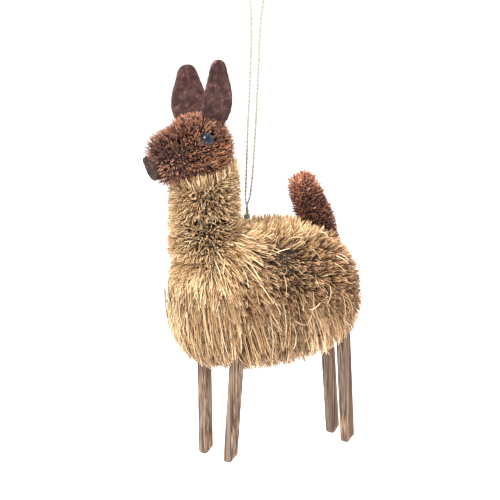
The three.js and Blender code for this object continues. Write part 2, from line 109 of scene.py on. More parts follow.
class Tree:
    """A shader or geometry node tree. Every node comes from node()."""

    def __init__(self, tree):
        self.tree = tree

    def node(self, kind, settings=None, inputs=None, output=0):
        made = self.tree.nodes.new(kind)
        for name, value in (settings or {}).items():
            if name == "ramp":
                self.set_ramp(made.color_ramp, value)
            else:
                setattr(made, name, value)
        for name, value in (inputs or {}).items():
            socket = made.inputs[name]
            if isinstance(value, Value):
                self.tree.links.new(value.socket, socket)
            else:
                socket.default_value = value
        if not made.outputs:
            return None
        return Value(self, made.outputs[output])

    def set_ramp(self, ramp, stops):
        while len(ramp.elements) < len(stops):
            ramp.elements.new(0.5)
        for element, (position, colour) in zip(ramp.elements, stops):
            element.position = position
            element.color = (*colour, 1)

    def output_of(self, value, name):
        return Value(self, value.socket.node.outputs[name])

    def clamped(self, value):
        return self.node("ShaderNodeClamp", None, {"Value": value, "Min": 0.0, "Max": 1.0})

    def ease(self, value, start, end):
        """0 below start, 1 above end, smooth between."""
        settings = {"interpolation_type": "SMOOTHSTEP"}
        return self.node("ShaderNodeMapRange", settings, {"Value": value, "From Min": start, "From Max": end})

    def parts(self, vector):
        split = self.node("ShaderNodeSeparateXYZ", None, {0: vector})
        return split, self.output_of(split, "Y"), self.output_of(split, "Z")

    def joined(self, x, y):
        return self.node("ShaderNodeCombineXYZ", None, {0: x, 1: y})

    def unit(self, vector):
        return self.node("ShaderNodeVectorMath", {"operation": "NORMALIZE"}, {0: vector})

    def cross(self, first, second):
        return self.node("ShaderNodeVectorMath", {"operation": "CROSS_PRODUCT"}, {0: first, 1: second})

    def place(self):
        """Where a point lies on its own piece."""
        return self.node("ShaderNodeTexCoord", None, None, output="Object")

    def noise(self, place, scale, detail, **inputs):
        inputs.update(Vector=place, Scale=scale, Detail=detail)
        return self.node("ShaderNodeTexNoise", None, inputs)

    def ramp(self, tones, share):
        return self.node("ShaderNodeValToRGB", {"ramp": tones}, {"Fac": share})

    def bump(self, strength, distance, height):
        inputs = {"Strength": strength, "Distance": distance, "Height": height}
        return self.node("ShaderNodeBump", None, inputs)


# ---------- Meshes ----------


def add_object(name, mesh):
    piece = bpy.data.objects.new(name, mesh)
    bpy.context.scene.collection.objects.link(piece)
    return piece


def merged_copy(node):
    """A CAD node's mesh with its loose triangles joined."""
    mesh = bmesh.new()
    mesh.from_mesh(NODES[node].data)
    bmesh.ops.remove_doubles(mesh, verts=mesh.verts, dist=WELD)
    return mesh


def remeshed(bm, grain):
    """The same closed shape in even small faces."""
    source = add_object("source", mesh_from(bm))
    remesh = source.modifiers.new("remesh", "REMESH")
    remesh.mode = "VOXEL"
    remesh.voxel_size = grain
    mesh = bpy.data.meshes.new_from_object(source.evaluated_get(bpy.context.evaluated_depsgraph_get()))
    bpy.data.objects.remove(source)
    made = bmesh.new()
    made.from_mesh(mesh)
    return made


def soften(bm):
    axes = {"use_axis_x": True, "use_axis_y": True, "use_axis_z": True}
    for _ in range(SMOOTH_ROUNDS):
        bmesh.ops.smooth_vert(bm, verts=bm.verts, factor=0.5, **axes)
    bm.normal_update()


def hull_of(nodes, grain=1.0 * MM, more=()):
    """The trimmed outside of several CAD sections together, in even faces that can carry a field."""
    bm = bmesh.new()
    for node in nodes:
        for vertex in NODES[node].data.vertices:
            bm.verts.new(vertex.co)
    for point in more:
        bm.verts.new(point)
    bmesh.ops.remove_doubles(bm, verts=bm.verts, dist=0.05 * MM)
    bmesh.ops.convex_hull(bm, input=bm.verts)
    bmesh.ops.delete(bm, geom=[v for v in bm.verts if not v.link_faces], context="VERTS")
    bmesh.ops.recalc_face_normals(bm, faces=bm.faces)
    bm = remeshed(bm, grain)
    soften(bm)
    return bm


def finish_piece(name, mesh, material, nodes=(), body="llama"):
    """Puts one finished mesh in the scene as a piece of the llama."""
    piece = add_object(name, mesh)
    mesh.materials.clear()
    mesh.materials.append(material)
    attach(piece, body)
    if nodes:
        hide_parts(*nodes)
    return piece


def mesh_from(bm, smooth=True):
    mesh = bpy.data.meshes.new("made")
    for face in bm.faces:
        face.smooth = smooth
    bm.to_mesh(mesh)
    bm.free()
    return mesh


def smooth_step(value):
    value = np.clip(value, 0, 1)
    return value * value * (3 - 2 * value)


def unit_rows(vectors):
    return vectors / np.maximum(np.linalg.norm(vectors, axis=1, keepdims=True), 1e-9)


def along_surface(heading, normals):
    return heading - normals * (heading * normals).sum(1, keepdims=True)


def noise_at(places, scale):
    return np.array([noise.noise(Vector(place) * scale) for place in places])


def tangent_at(path, i):
    return (path[min(i + 1, len(path) - 1)] - path[max(i - 1, 0)]).normalized()


def skin(bm, rings):
    """Faces from each ring to the next and over both ends."""
    sides = len(rings[0])
    for lower, upper in zip(rings, rings[1:]):
        for side in range(sides):
            after = (side + 1) % sides
            bm.faces.new((lower[side], lower[after], upper[after], upper[side]))
    bm.faces.new(list(reversed(rings[0])))
    bm.faces.new(rings[-1])


def swept_tube(path, radius, sides, bm):
    """Adds a closed round tube along a list of points, with its frame carried along without twist."""
    tangents = [tangent_at(path, i) for i in range(len(path))]
    across = tangents[0].orthogonal().normalized()
    rings = []
    for point, tangent in zip(path, tangents):
        across = (across - tangent * across.dot(tangent)).normalized()
        up = tangent.cross(across)
        ring = []
        for side in range(sides):
            angle = 2 * math.pi * side / sides
            ring.append(bm.verts.new(point + radius * (math.cos(angle) * across + math.sin(angle) * up)))
        rings.append(ring)
    skin(bm, rings)


# ---------- Bristles ----------


def named(tree, name, kind="FLOAT_VECTOR"):
    return tree.node("GeometryNodeInputNamedAttribute", {"data_type": kind}, {"Name": name})


def stored(tree, geometry, name, value, kind="FLOAT_VECTOR", domain="POINT"):
    settings = {"data_type": kind, "domain": domain}
    inputs = {"Geometry": geometry, "Name": name, "Value": value}
    return tree.node("GeometryNodeStoreNamedAttribute", settings, inputs)


BRISTLE_INPUTS = {
    "Spacing": 0.5 * MM,
    "Density": 3.0e6,
    "Radius": BRISTLE_RADIUS,
    "Depth": 8 * MM,
    "Ragged": 0.5 * MM,
    "Tilt": 1 * MM,
    "Tuft Size": 3 * MM,
    "Tuft Pull": 0.3,
    "Tuft Tone": 0.25,
    "Sink": 0.22,
    "Rings": 2,
    "Roundness": 60 * MM,
    "Shown": 1.0,
    "Tone Patch": 9 * MM,
    "Seed": 1,
    "Bristle": None,
}
LENGTHS = ("Spacing", "Radius", "Depth", "Ragged", "Tilt", "Tuft Size", "Roundness", "Tone Patch")


def bristle_tree():
    """Sets bristles on a surface. Each runs from a root under the surface, bends the way the surface's
    comb field says and ends at its trimmed tip. The fields comb, lift, cover, shade and second come from the
    surface, and second is the share of the bristles that are of the second colour."""
    group = bpy.data.node_groups.new("trimmed_bristles", "GeometryNodeTree")
    group.interface.new_socket("Surface", in_out="INPUT", socket_type="NodeSocketGeometry")
    kinds = {float: "NodeSocketFloat", int: "NodeSocketInt", type(None): "NodeSocketMaterial"}
    for name, value in BRISTLE_INPUTS.items():
        socket = group.interface.new_socket(name, in_out="INPUT", socket_type=kinds[type(value)])
        if value is not None:
            socket.default_value = value
    group.interface.new_socket("Bristles", in_out="OUTPUT", socket_type="NodeSocketGeometry")
    tree = Tree(group)

    def given(name):
        return Value(tree, group.nodes.new("NodeGroupInput").outputs[name])

    seed = given("Seed")
    depth = given("Depth")

    points = tree.node(
        "GeometryNodeDistributePointsOnFaces",
        {"distribute_method": "POISSON"},
        {
            "Mesh": given("Surface"),
            "Distance Min": given("Spacing"),
            "Density Max": given("Density"),
            "Density Factor": named(tree, "cover", "FLOAT"),
            "Seed": seed,
        },
    )
    normal = tree.output_of(points, "Normal")
    place = tree.node("GeometryNodeInputPosition")
    comb = named(tree, "comb")

    def chance(low, high, salt, kind="FLOAT"):
        sockets = (2, 3) if kind == "FLOAT" else (0, 1)
        inputs = {sockets[0]: low, sockets[1]: high, "Seed": seed + salt}
        made = tree.node("FunctionNodeRandomValue", {"data_type": kind}, inputs)
        return Value(tree, made.socket.node.outputs[1 if kind == "FLOAT" else 0])

    tuft = tree.node(
        "ShaderNodeTexVoronoi",
        {"feature": "F1"},
        {"Vector": place, "Scale": 1 / given("Tuft Size")},
    )
    gather = tree.output_of(tuft, "Position") - place
    tuft_tone, _, _ = tree.parts(tree.output_of(tuft, "Color"))
    uneven = chance(0.0, 1.0, 11)
    slide = chance(0.0, 1.0, 12)
    jitter = chance((-1.0, -1.0, -1.0), (1.0, 1.0, 1.0), 13, "FLOAT_VECTOR")
    tip = place + normal * (named(tree, "lift", "FLOAT") - uneven * uneven * given("Ragged"))
    tip = tip + gather * given("Tuft Pull") + comb * (slide * slide * 0.35 - 0.1)
    tip = tip + jitter * given("Tilt") * 0.35
    squared = tree.node("ShaderNodeVectorMath", {"operation": "DOT_PRODUCT"}, {0: comb, 1: comb})
    sag = tree.output_of(squared, "Value") / (2 * given("Roundness"))
    root = place - normal * (depth + sag) - comb + jitter * given("Tilt")
    bend = place - normal * depth * given("Sink") - comb * 0.5
    bend = bend + jitter * given("Tilt") * 0.8

    patch = tree.node(
        "ShaderNodeTexNoise",
        None,
        {"Vector": place, "Scale": 1 / given("Tone Patch"), "Detail": 2.0, "Roughness": 0.6},
    )
    tone = chance(0.0, 1.0, 14) * 0.85 + (patch - 0.5) * 0.9 + named(tree, "shade", "FLOAT") + 0.07
    tone = tone + (tuft_tone - 0.5) * given("Tuft Tone")
    drawn = {0: chance(0.0, 1.0, 16), 1: named(tree, "second", "FLOAT")}
    family = tree.node("ShaderNodeMath", {"operation": "LESS_THAN"}, drawn)
    tone = (tree.clamped(tone) * 0.94 + 0.03 + family) * 0.5
    girth = given("Radius") * chance(0.7, 1.3, 15)

    bearing = points
    for name, value in (("anchor", place), ("tip", tip), ("bend", bend), ("root", root)):
        bearing = stored(tree, bearing, name, value)
    bearing = stored(tree, bearing, "girth", girth, "FLOAT")
    bearing = stored(tree, bearing, "tone", tone, "FLOAT")
    fibre = tree.node(
        "GeometryNodeMeshCylinder",
        {"fill_type": "NGON"},
        {"Vertices": 3, "Side Segments": given("Rings"), "Radius": 1.0, "Depth": 1.0},
    )
    set_out = tree.node("GeometryNodeInstanceOnPoints", None, {"Points": bearing, "Instance": fibre})
    bristles = tree.node("GeometryNodeRealizeInstances", None, {"Geometry": set_out})

    local_x, local_y, local_z = tree.parts(place - named(tree, "anchor"))
    along = local_z + 0.5
    root, bend, tip = named(tree, "root"), named(tree, "bend"), named(tree, "tip")
    line = root * ((1 - along) * (1 - along)) + bend * ((1 - along) * along * 2) + tip * (along * along)
    run = tree.unit(tip - root)
    side = tree.unit(tree.cross(run, (0.36, 0.48, 0.8)))
    up = tree.cross(run, side)
    width = named(tree, "girth", "FLOAT") * (1.1 - along * 0.45)
    spot = line + side * (local_x * width) + up * (local_y * width)
    # Shown sets how much of each bristle's painted root shade is seen along its length.
    seen_along = 1 - (1 - along) * given("Shown")
    lookup = tree.joined(named(tree, "tone", "FLOAT") + local_y * 0.006, seen_along * 0.98 + 0.01)
    bristles = stored(tree, bristles, "OFBake", lookup, "FLOAT2", "CORNER")
    bristles = tree.node("GeometryNodeSetPosition", None, {"Geometry": bristles, "Position": spot})
    for name in "anchor tip bend root girth tone comb lift cover shade second".split():
        bristles = tree.node("GeometryNodeRemoveAttribute", None, {"Geometry": bristles, "Name": name})
    bristles = tree.node(
        "GeometryNodeSetMaterial",
        None,
        {"Geometry": bristles, "Material": given("Bristle")},
    )
    made = group.nodes.new("NodeGroupOutput")
    group.links.new(bristles.socket, made.inputs["Bristles"])
    return group


def set_field(mesh, name, values):
    kind = "FLOAT_VECTOR" if values.ndim == 2 else "FLOAT"
    attribute = mesh.attributes.new(name, kind, "POINT")
    attribute.data.foreach_set("vector" if values.ndim == 2 else "value", values.astype(np.float32).ravel())


def surface_arrays(mesh):
    count = len(mesh.vertices)
    places, normals = np.zeros(count * 3), np.zeros(count * 3)
    mesh.vertices.foreach_get("co", places)
    mesh.vertices.foreach_get("normal", normals)
    return places.reshape(-1, 3), normals.reshape(-1, 3)


def grow_bristles(name, surface, fields, material, slot, nodes, **settings):
    """Makes one section's bristles on a surface and puts them in place of its CAD nodes. The settings are
    the bristle tree's inputs, with lengths in millimetres."""
    host = add_object(name + "_surface", surface)
    for field, values in fields.items():
        set_field(surface, field, values)
    modifier = host.modifiers.new("bristles", "NODES")
    modifier.node_group = BRISTLES
    settings["bristle"] = material
    for item in BRISTLES.interface.items_tree:
        value = settings.get(item.name.lower().replace(" ", "_"))
        if item.in_out == "INPUT" and value is not None:
            modifier[item.identifier] = value * MM if item.name in LENGTHS else value
    grown = host.evaluated_get(bpy.context.evaluated_depsgraph_get())
    mesh = bpy.data.meshes.new_from_object(grown)
    bpy.data.objects.remove(host)
    mesh.name = name
    return finish_piece(name, mesh, material, nodes)


def share_of(bm, keep):
    """A mesh of the faces whose middle passes a test."""
    part = bm.copy()
    gone = [face for face in part.faces if not keep(face.calc_center_median(), face.normal)]
    bmesh.ops.delete(part, geom=gone, context="FACES")
    mesh = bpy.data.meshes.new("surface")
    part.to_mesh(mesh)
    part.free()
    return mesh


def bed_of(name, node, inset, material, seams=()):
    """The inside of a section, where the bristles are packed together: a dark sheet whose colour is painted
    shade.
    """
    bm = hull_of([node])
    for vertex in bm.verts:
        inward = vertex.normal.copy()
        if any(abs(vertex.co.y - seam) < SEAM_REACH for seam in seams):
            inward.y = 0
        ripple = noise.noise(vertex.co * 900) * 0.4 * MM
        vertex.co -= inward * (inset + ripple)
    return finish_piece(name, mesh_from(bm), material)


# ---------- Materials ----------


def new_material(name):
    material = bpy.data.materials.new(name)
    material.use_nodes = True
    material.node_tree.nodes.clear()
    return material, Tree(material.node_tree)


def surface_shader(tree, colour, roughness, **constants):
    """Ends a material in a Principled shader. Constants are set on its own sockets."""
    inputs = {"Base Color": colour, "Roughness": roughness}
    inputs.update({name.replace("_", " "): value for name, value in constants.items()})
    shader = tree.node("ShaderNodeBsdfPrincipled", None, inputs)
    tree.node("ShaderNodeOutputMaterial", None, {"Surface": shader})


def mixed(tree, share, first, second):
    """A colour between two others."""
    return tree.node("ShaderNodeMix", {"data_type": "RGBA"}, {0: share, 6: first, 7: second}, output=2)


def bristle_material(name, tones, second_tones, root_shade_colour, root_shade_span, tip_colour, tip_share):
    """A bristle's colour comes from its own tone, darker towards its root by painted shade and bleached at
    its cut tip. The lower half of the map's width is for the first set of tones and the upper half for the
    second."""
    material, tree = new_material(name)
    lookup = tree.node("ShaderNodeUVMap", {"uv_map": "OFBake"})
    place, along, _ = tree.parts(lookup)
    family = tree.node("ShaderNodeMath", {"operation": "GREATER_THAN"}, {0: place, 1: 0.5})
    tone = place * 2 - family
    first = tree.ramp(tones, tone)
    second = tree.ramp(second_tones, tone)
    colour = mixed(tree, family, first, second)
    streak = tree.node("ShaderNodeTexNoise", {"noise_dimensions": "2D"}, {"Vector": lookup, "Scale": 38.0})
    colour = mixed(tree, tree.ease(streak, 0.45, 0.8) * 0.25, colour, (*tones[-1][1], 1))
    colour = mixed(tree, tree.ease(along, 0.82, 1.0) * tip_share, colour, (*tip_colour, 1))
    # Painted shade: each bristle darkens towards its root, as if shaded deep in the coat.
    colour = mixed(tree, 1 - tree.ease(along, *root_shade_span), colour, (*root_shade_colour, 1))
    surface_shader(tree, colour, 0.62, Specular_IOR_Level=0.25)
    return material


STRAW_TONES = [
    (0.0, (0.055, 0.023, 0.01)),
    (0.2, (0.15, 0.07, 0.028)),
    (0.45, (0.31, 0.165, 0.068)),
    (0.72, (0.5, 0.31, 0.138)),
    (1.0, (0.84, 0.65, 0.4)),
]
STRAW_SECOND_TONES = [
    (0.0, (0.05, 0.016, 0.01)),
    (0.25, (0.14, 0.052, 0.028)),
    (0.5, (0.29, 0.125, 0.06)),
    (0.75, (0.46, 0.24, 0.12)),
    (1.0, (0.68, 0.46, 0.28)),
]
RUST_SECOND_TONES = [
    (0.0, (0.008, 0.004, 0.009)),
    (0.35, (0.034, 0.014, 0.022)),
    (0.6, (0.085, 0.036, 0.042)),
    (0.85, (0.2, 0.1, 0.1)),
    (1.0, (0.46, 0.29, 0.28)),
]
PILE_SECOND_TONES = [
    (0.0, (0.16, 0.05, 0.025)),
    (0.5, (0.42, 0.15, 0.07)),
    (1.0, (0.85, 0.48, 0.33)),
]
RUST_TONES = [
    (0.0, (0.018, 0.007, 0.012)),
    (0.25, (0.07, 0.024, 0.028)),
    (0.45, (0.15, 0.055, 0.04)),
    (0.65, (0.27, 0.088, 0.03)),
    (0.85, (0.5, 0.19, 0.06)),
    (1.0, (0.72, 0.42, 0.28)),
]
PILE_TONES = [
    (0.0, (0.02, 0.007, 0.01)),
    (0.4, (0.06, 0.016, 0.018)),
    (0.7, (0.17, 0.04, 0.026)),
    (0.88, (0.4, 0.13, 0.06)),
    (1.0, (0.75, 0.38, 0.24)),
]
STICK_TONES = [
    (0.36, (0.016, 0.007, 0.005)),
    (0.45, (0.065, 0.032, 0.018)),
    (0.53, (0.15, 0.088, 0.048)),
    (0.64, (0.29, 0.2, 0.13)),
]


def shade_bed_material(name, dark, light):
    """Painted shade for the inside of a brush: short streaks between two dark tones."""
    material, tree = new_material(name)
    place = tree.place()
    grain = tree.noise(place, 2600.0, 3.0)
    colour = mixed(tree, tree.ease(grain, 0.4, 0.65), (*dark, 1), (*light, 1))
    bump = tree.bump(0.6, 0.3 * MM, grain)
    surface_shader(tree, colour, 0.9, Normal=bump)
    return material


def felt_material(name, dark, mid, fleck):
    """Mottled pressed felt with a few rust flecks and a fine nap."""
    material, tree = new_material(name)
    place = tree.place()
    cloud = tree.noise(place, 420.0, 4.0, Roughness=0.65)
    nap = tree.noise(place, 3800.0, 2.0)
    spots = tree.node("ShaderNodeTexVoronoi", None, {"Vector": place, "Scale": 620.0, "Randomness": 1.0})
    colour = mixed(tree, tree.ease(cloud, 0.35, 0.65), (*dark, 1), (*mid, 1))
    flecks = (1 - tree.ease(spots, 0.12, 0.34)) * tree.ease(cloud, 0.45, 0.6)
    colour = mixed(tree, flecks, colour, (*fleck, 1))
    colour = mixed(tree, tree.ease(nap, 0.35, 0.7) * 0.35, colour, (*dark, 1))
    bump = tree.bump(0.7, 0.12 * MM, nap + cloud * 0.8)
    surface_shader(tree, colour, 0.92, Normal=bump, Specular_IOR_Level=0.12)
    return material


def stick_material():
    """Weathered split twig: fine grain along its length, grey and pinkish streaks, darker ends."""
    material, tree = new_material("weathered_stick")
    place = tree.place()
    drawn = tree.node("ShaderNodeMapping", None, {"Vector": place, "Scale": (1.0, 1.0, 0.012)})
    fine = tree.noise(drawn, 2100.0, 3.0, Roughness=0.6)
    broad = tree.noise(drawn, 620.0, 2.0)
    pores = tree.noise(drawn, 5200.0, 2.0)
    colour = tree.ramp(STICK_TONES, fine)
    colour = mixed(tree, tree.ease(broad, 0.48, 0.68) * 0.55, colour, (0.2, 0.15, 0.12, 1))
    colour = mixed(tree, (1 - tree.ease(broad, 0.3, 0.45)) * 0.5, colour, (0.1, 0.042, 0.03, 1))
    colour = mixed(tree, (1 - tree.ease(pores, 0.3, 0.42)) * 0.6, colour, (0.07, 0.04, 0.03, 1))
    _, _, height = tree.parts(place)
    colour = mixed(tree, (1 - tree.ease(height, 0.2 * MM, 2.2 * MM)) * 0.5, colour, (0.11, 0.065, 0.04, 1))
    bump = tree.bump(0.8, 0.2 * MM, fine + pores * 0.5)
    roughness = tree.ease(broad, 0.2, 0.9) * 0.2 + 0.62
    surface_shader(tree, colour, roughness, Normal=bump, Specular_IOR_Level=0.3)
    return material


def core_wood_material():
    material, tree = new_material("core_wood")
    place = tree.place()
    rings = tree.node(
        "ShaderNodeTexWave",
        {"wave_type": "BANDS"},
        {"Vector": place, "Scale": 240.0, "Distortion": 6.0, "Detail": 2.0},
    )
    colour = mixed(tree, rings, (0.5, 0.33, 0.18, 1), (0.68, 0.49, 0.3, 1))
    surface_shader(tree, colour, 0.7)
    return material


def wire_material():
    material, tree = new_material("binding_wire")
    place = tree.place()
    dull = tree.noise(place, 1500.0, 2.0)
    colour = mixed(tree, dull, (0.42, 0.41, 0.39, 1), (0.62, 0.61, 0.58, 1))
    surface_shader(tree, colour, dull * 0.3 + 0.25, Metallic=1.0)
    return material


def bead_material():
    """Glossy blue-black bead with a faint cloud in the glaze."""
    material, tree = new_material("eye_bead")
    place = tree.place()
    cloud = tree.noise(place, 520.0, 3.0)
    colour = mixed(tree, tree.ease(cloud, 0.4, 0.7), (0.004, 0.005, 0.01, 1), (0.02, 0.03, 0.055, 1))
    glaze = {"Coat_Weight": 0.15, "Coat_Roughness": 0.12, "Specular_IOR_Level": 0.25}
    surface_shader(tree, colour, cloud * 0.3 + 0.2, **glaze)
    return material


def twine_material():
    """Cream twine with greyer fibres and grey patches."""
    material, tree = new_material("cord_twine")
    place = tree.place()
    fibres = tree.noise(place, 4200.0, 3.0)
    patches = tree.noise(place, 160.0, 2.0)
    colour = mixed(tree, tree.ease(fibres, 0.35, 0.65), (0.22, 0.2, 0.165, 1), (0.52, 0.48, 0.41, 1))
    colour = mixed(tree, tree.ease(patches, 0.45, 0.7) * 0.35, colour, (0.33, 0.33, 0.3, 1))
    bump = tree.bump(0.5, 0.08 * MM, fibres)
    surface_shader(tree, colour, 0.85, Normal=bump)
    return material


# Each set: the colour and span of the painted root shade, then the bleached tip colour and its share.
STRAW_ENDS = ((0.04, 0.018, 0.01), (0.2, 0.84), (0.7, 0.5, 0.3), 0.35)
RUST_ENDS = ((0.016, 0.006, 0.008), (0.5, 0.96), (0.8, 0.35, 0.17), 0.35)
PILE_ENDS = ((0.015, 0.005, 0.006), (0.05, 0.6), (0.75, 0.4, 0.28), 0.25)
STRAW = bristle_material("straw_bristle", STRAW_TONES, STRAW_SECOND_TONES, *STRAW_ENDS)
RUST = bristle_material("rust_bristle", RUST_TONES, RUST_SECOND_TONES, *RUST_ENDS)
PILE = bristle_material("tail_chenille", PILE_TONES, PILE_SECOND_TONES, *PILE_ENDS)
# The beds' dark colours are painted shade between the packed bristles.
STRAW_SHADE_BED = shade_bed_material("straw_bed", (0.02, 0.01, 0.006), (0.08, 0.045, 0.024))
RUST_SHADE_BED = shade_bed_material("rust_bed", (0.014, 0.006, 0.006), (0.05, 0.02, 0.014))
EAR_FELT = felt_material("ear_felt", (0.036, 0.017, 0.016), (0.1, 0.05, 0.045), (0.22, 0.1, 0.065))
NOSE_FELT = felt_material("nose_felt", (0.018, 0.009, 0.007), (0.055, 0.031, 0.023), (0.09, 0.055, 0.042))
STICK = stick_material()
CORE_WOOD = core_wood_material()
WIRE = wire_material()
BEAD = bead_material()
TWINE = twine_material()


# ---------- Camera, light and floor ----------


def main_camera():
    aim = Vector((0, -1.3, 67.3)) * MM
    azimuth, elevation, distance = math.radians(60), math.radians(12.5), 0.7
    level = math.cos(elevation)
    back = Vector((math.sin(azimuth) * level, -math.cos(azimuth) * level, math.sin(elevation)))
    data = bpy.data.cameras.new("camera")
    data.sensor_width = 36
    view_width = 0.16
    data.lens = data.sensor_width * distance / view_width
    data.clip_start = 0.01
    camera = bpy.data.objects.new("camera", data)
    camera.location = aim + back * distance
    camera.rotation_euler = back.to_track_quat("Z", "Y").to_euler()
    bpy.context.scene.collection.objects.link(camera)
    bpy.context.scene.camera = camera


def area_light(name, place, aim, size, power):
    data = bpy.data.lights.new(name, "AREA")
    data.shape = "DISK"
    data.size = size
    data.energy = power
    light = bpy.data.objects.new(name, data)
    light.location = place
    light.rotation_euler = (Vector(place) - Vector(aim)).to_track_quat("Z", "Y").to_euler()
    bpy.context.scene.collection.objects.link(light)


def studio():
    scene = bpy.context.scene
    scene.view_settings.view_transform = "Standard"
    world = bpy.data.worlds.new("studio")
    scene.world = world
    world.use_nodes = True
    world.node_tree.nodes["Background"].inputs["Color"].default_value = (1, 1, 1, 1)
    world.node_tree.nodes["Background"].inputs["Strength"].default_value = 1.0
    middle = (0, 0, 0.07)
    area_light("key", (0.3, -0.75, 0.9), middle, 0.3, 22)
    area_light("top", (-0.15, 0.1, 1.0), middle, 0.4, 24)

    bm = bmesh.new()
    bmesh.ops.create_grid(bm, x_segments=1, y_segments=1, size=6)
    floor = add_object("floor", mesh_from(bm, smooth=False))
    floor.location = (0, 0, -FLOOR_DROP)
    material, tree = new_material("pale_floor")
    surface_shader(tree, (0.95, 0.95, 0.95, 1), 0.9)
    floor.data.materials.append(material)


main_camera()
studio()


# ---------- Cord ----------

knot_low, knot_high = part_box("cord_knot")
KNOT_TOP = Vector(((knot_low.x + knot_high.x) / 2, (knot_low.y + knot_high.y) / 2, knot_high.z))
KNOT_MIDDLE = (knot_low + knot_high) / 2


def smooth_path(points, steps):
    """A Catmull-Rom curve through the points."""
    ends = [points[0] * 2 - points[1], *points, points[-1] * 2 - points[-2]]
    path = []
    for a, b, c, d in zip(ends, ends[1:], ends[2:], ends[3:]):
        for step in range(steps):
            t = step / steps
            square, cube = (2 * a - 5 * b + 4 * c - d) * t**2, (3 * b - a - 3 * c + d) * t**3
            path.append(0.5 * (2 * b + (c - a) * t + square + cube))
    return [*path, points[-1]]


def even_path(path, step):
    """The same path with its points an even step apart."""
    lengths = [0.0]
    for a, b in zip(path, path[1:]):
        lengths.append(lengths[-1] + (b - a).length)
    count = max(2, round(lengths[-1] / step))
    places = np.linspace(0, lengths[-1], count + 1)
    rows = np.array([tuple(point) for point in path])
    return [Vector(row) for row in np.stack([np.interp(places, lengths, rows[:, i]) for i in range(3)], 1)]


def twisted_plies(path, pitch, offset, radius, sides):
    """Two plies laid round each other along a path."""
    bm = bmesh.new()
    across = (path[1] - path[0]).orthogonal().normalized()
    plies = ([], [])
    run = 0.0
    for i, point in enumerate(path):
        tangent = tangent_at(path, i)
        across = (across - tangent * across.dot(tangent)).normalized()
        up = tangent.cross(across)
        if i:
            run += (point - path[i - 1]).length
        wobble = 0.12 * noise.noise(Vector((run * 300, 0, 3)))
        angle = 2 * math.pi * run / pitch * (1 + 0.02 * wobble)
        arm = (math.cos(angle) * across + math.sin(angle) * up) * offset * (1 + wobble)
        plies[0].append(point + arm)
        plies[1].append(point - arm)
    for ply in plies:
        swept_tube(ply, radius, sides, bm)
    return bm


def hanging_loop():
    route = [KNOT_TOP + Vector(point) * MM for point in LOOP_ROUTE]
    path = even_path(smooth_path(route, 12), PLY_PITCH / 9)
    length = sum((b - a).length for a, b in zip(path, path[1:]))
    bm = twisted_plies(path, PLY_PITCH, CORD_DIAMETER * 0.25, CORD_DIAMETER * 0.27, 6)
    loop = finish_piece("loop_cord", mesh_from(bm), TWINE, ["hanging_loop"], "loop")
    return loop, route[0], length, path


def tied_knot():
    """An overhand knot drawn tight, its cord wound three times round itself."""
    points = []
    steps = 96
    for step in range(steps + 1):
        angle = 2 * math.pi * step / steps
        reach = 0.62 + 0.3 * math.cos(3 * angle)
        spot = Vector((reach * math.cos(2 * angle), reach * math.sin(2 * angle), 0.62 * math.sin(3 * angle)))
        points.append(KNOT_MIDDLE + spot * MM)
    bm = twisted_plies(points[:-2], PLY_PITCH, CORD_DIAMETER * 0.22, CORD_DIAMETER * 0.27, 6)
    for side in (-1, 1):
        up_to_loop = [KNOT_MIDDLE, KNOT_TOP + Vector((side * 0.5, 0.05, 0.6)) * MM]
        swept_tube(even_path(up_to_loop, 0.4 * MM), CORD_DIAMETER * 0.45, 8, bm)
    return finish_piece("tied_knot", mesh_from(bm), TWINE, ["cord_knot"], "knot")


LOOP, LOOP_EXIT, LOOP_LENGTH, LOOP_PATH = hanging_loop()
KNOT = tied_knot()


# ---------- Trunk ----------

BRISTLES = bristle_tree()

TRUNK_NODES = ["chest_fleece", "shoulder_fleece", "barrel_fleece", "rump_fleece"]
TRUNK = hull_of(TRUNK_NODES)
neck_low, neck_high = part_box("neck_fleece_lower")
NECK_AXIS = (neck_low + neck_high) / 2
# The bristles under the neck radiate from the first of these, and the body's from the second.
NECK_TIE = Vector((0, NECK_AXIS.y, neck_low.z + 3 * MM))
BODY_TIE = Vector((0, KNOT_MIDDLE.y + 4.7 * MM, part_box("spine_bar")[1].z + 5 * MM))


def seam_between(front, back):
    return (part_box(front)[1].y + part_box(back)[0].y) / 2


CHEST_SEAM = seam_between("chest_fleece", "shoulder_fleece")
CORD_SEAM = seam_between("shoulder_fleece", "barrel_fleece")
RUMP_SEAM = seam_between("barrel_fleece", "rump_fleece")


def mm(*numbers):
    return np.array(numbers) * MM


def bump_at(places, centre, size):
    """1 at the centre, fading to 0 beyond about its size along each axis."""
    gap = (places - np.array(centre)) / np.array(size)
    return np.exp(-(gap**2).sum(1))


SLOT_Y = CHEST_SEAM + 0.6 * MM  # the coat is parted above the front legs


def above_slot(places):
    """1 along the chest seam up to the height from which bristles would hang over its slot."""
    past_seam = (places[:, 1] - SLOT_Y) / MM
    return np.exp(-((past_seam / 2.4) ** 4)) * smooth_step((61 - places[:, 2] / MM) / 4)


